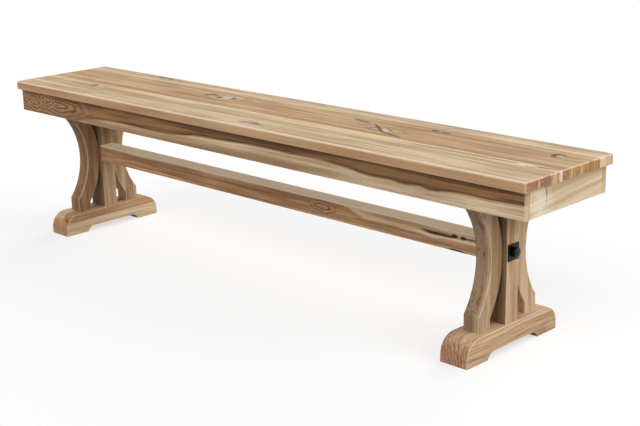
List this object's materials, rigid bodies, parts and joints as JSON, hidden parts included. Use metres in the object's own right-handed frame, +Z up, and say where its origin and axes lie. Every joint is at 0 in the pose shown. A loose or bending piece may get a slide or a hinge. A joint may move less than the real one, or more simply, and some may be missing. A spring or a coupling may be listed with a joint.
{
  "type": "extending trestle bench",
  "caption": "Wooden trestle bench with bowed legs, a bolted stretcher and a board seat; a leaf draws out from under each end to lengthen it.",
  "frame": {"origin": "on the floor, under the middle of the seat", "axes": "+X along the bench towards its right end, +Y to its back, +Z up"},
  "size_m": [1.905, 0.346, 0.457],
  "materials": {
    "seat_wood": "clear satin lacquer",
    "apron_wood": "clear satin lacquer",
    "trestle_wood": "clear satin lacquer",
    "stretcher_wood": "clear satin lacquer",
    "frame_wood": "clear satin lacquer",
    "dowel_wood": "clear satin lacquer",
    "black_iron": "black, semi-gloss",
    "zinc_steel": "zinc plated"
  },
  "bodies": {
    "frame": {"apron_back": "apron_wood", "apron_front": "apron_wood", "barrel_nut_left": "zinc_steel", "barrel_nut_right": "zinc_steel", "cleat_screws": "zinc_steel", "end_rail_left": "frame_wood", "end_rail_right": "frame_wood", "foot_left": "trestle_wood", "foot_right": "trestle_wood", "head_left": "frame_wood", "head_right": "frame_wood", "ledger_back": "frame_wood", "ledger_front": "frame_wood", "ledger_screws": "zinc_steel", "leg_dowels_left": "dowel_wood", "leg_dowels_right": "dowel_wood", "leg_left_back": "trestle_wood", "leg_left_front": "trestle_wood", "leg_right_back": "trestle_wood", "leg_right_front": "trestle_wood", "post_left": "trestle_wood", "post_right": "trestle_wood", "seat_board_back": "seat_wood", "seat_board_front": "seat_wood", "seat_board_heart": "seat_wood", "seat_board_inner": "seat_wood", "seat_cleat_left": "frame_wood", "seat_cleat_middle": "frame_wood", "seat_cleat_right": "frame_wood", "seat_dowels": "dowel_wood", "stop_block_left_back": "frame_wood", "stop_block_left_front": "frame_wood", "stop_block_right_back": "frame_wood", "stop_block_right_front": "frame_wood", "stop_screws": "zinc_steel", "stretcher": "stretcher_wood", "tie_bolt_left": "black_iron", "tie_bolt_right": "black_iron", "tie_plate_left": "black_iron", "tie_plate_right": "black_iron", "tie_washer_left": "black_iron", "tie_washer_right": "black_iron"},
    "left_leaf": {"end_apron_left": "apron_wood", "leaf_bearer_left_back": "frame_wood", "leaf_bearer_left_front": "frame_wood", "leaf_board_left_back": "frame_wood", "leaf_board_left_front": "frame_wood", "leaf_screws_left": "zinc_steel", "leaf_tail_rail_left": "frame_wood"},
    "right_leaf": {"end_apron_right": "apron_wood", "leaf_bearer_right_back": "frame_wood", "leaf_bearer_right_front": "frame_wood", "leaf_board_right_back": "frame_wood", "leaf_board_right_front": "frame_wood", "leaf_screws_right": "zinc_steel", "leaf_tail_rail_right": "frame_wood"}
  },
  "joints": [
    {"name": "left_leaf_draw", "type": "slide", "parent": "frame", "child": "left_leaf", "axis": [-1, 0, 0], "range_m": [0, 0.254]},
    {"name": "right_leaf_draw", "type": "slide", "parent": "frame", "child": "right_leaf", "axis": [1, 0, 0], "range_m": [0, 0.254]}
  ]
}
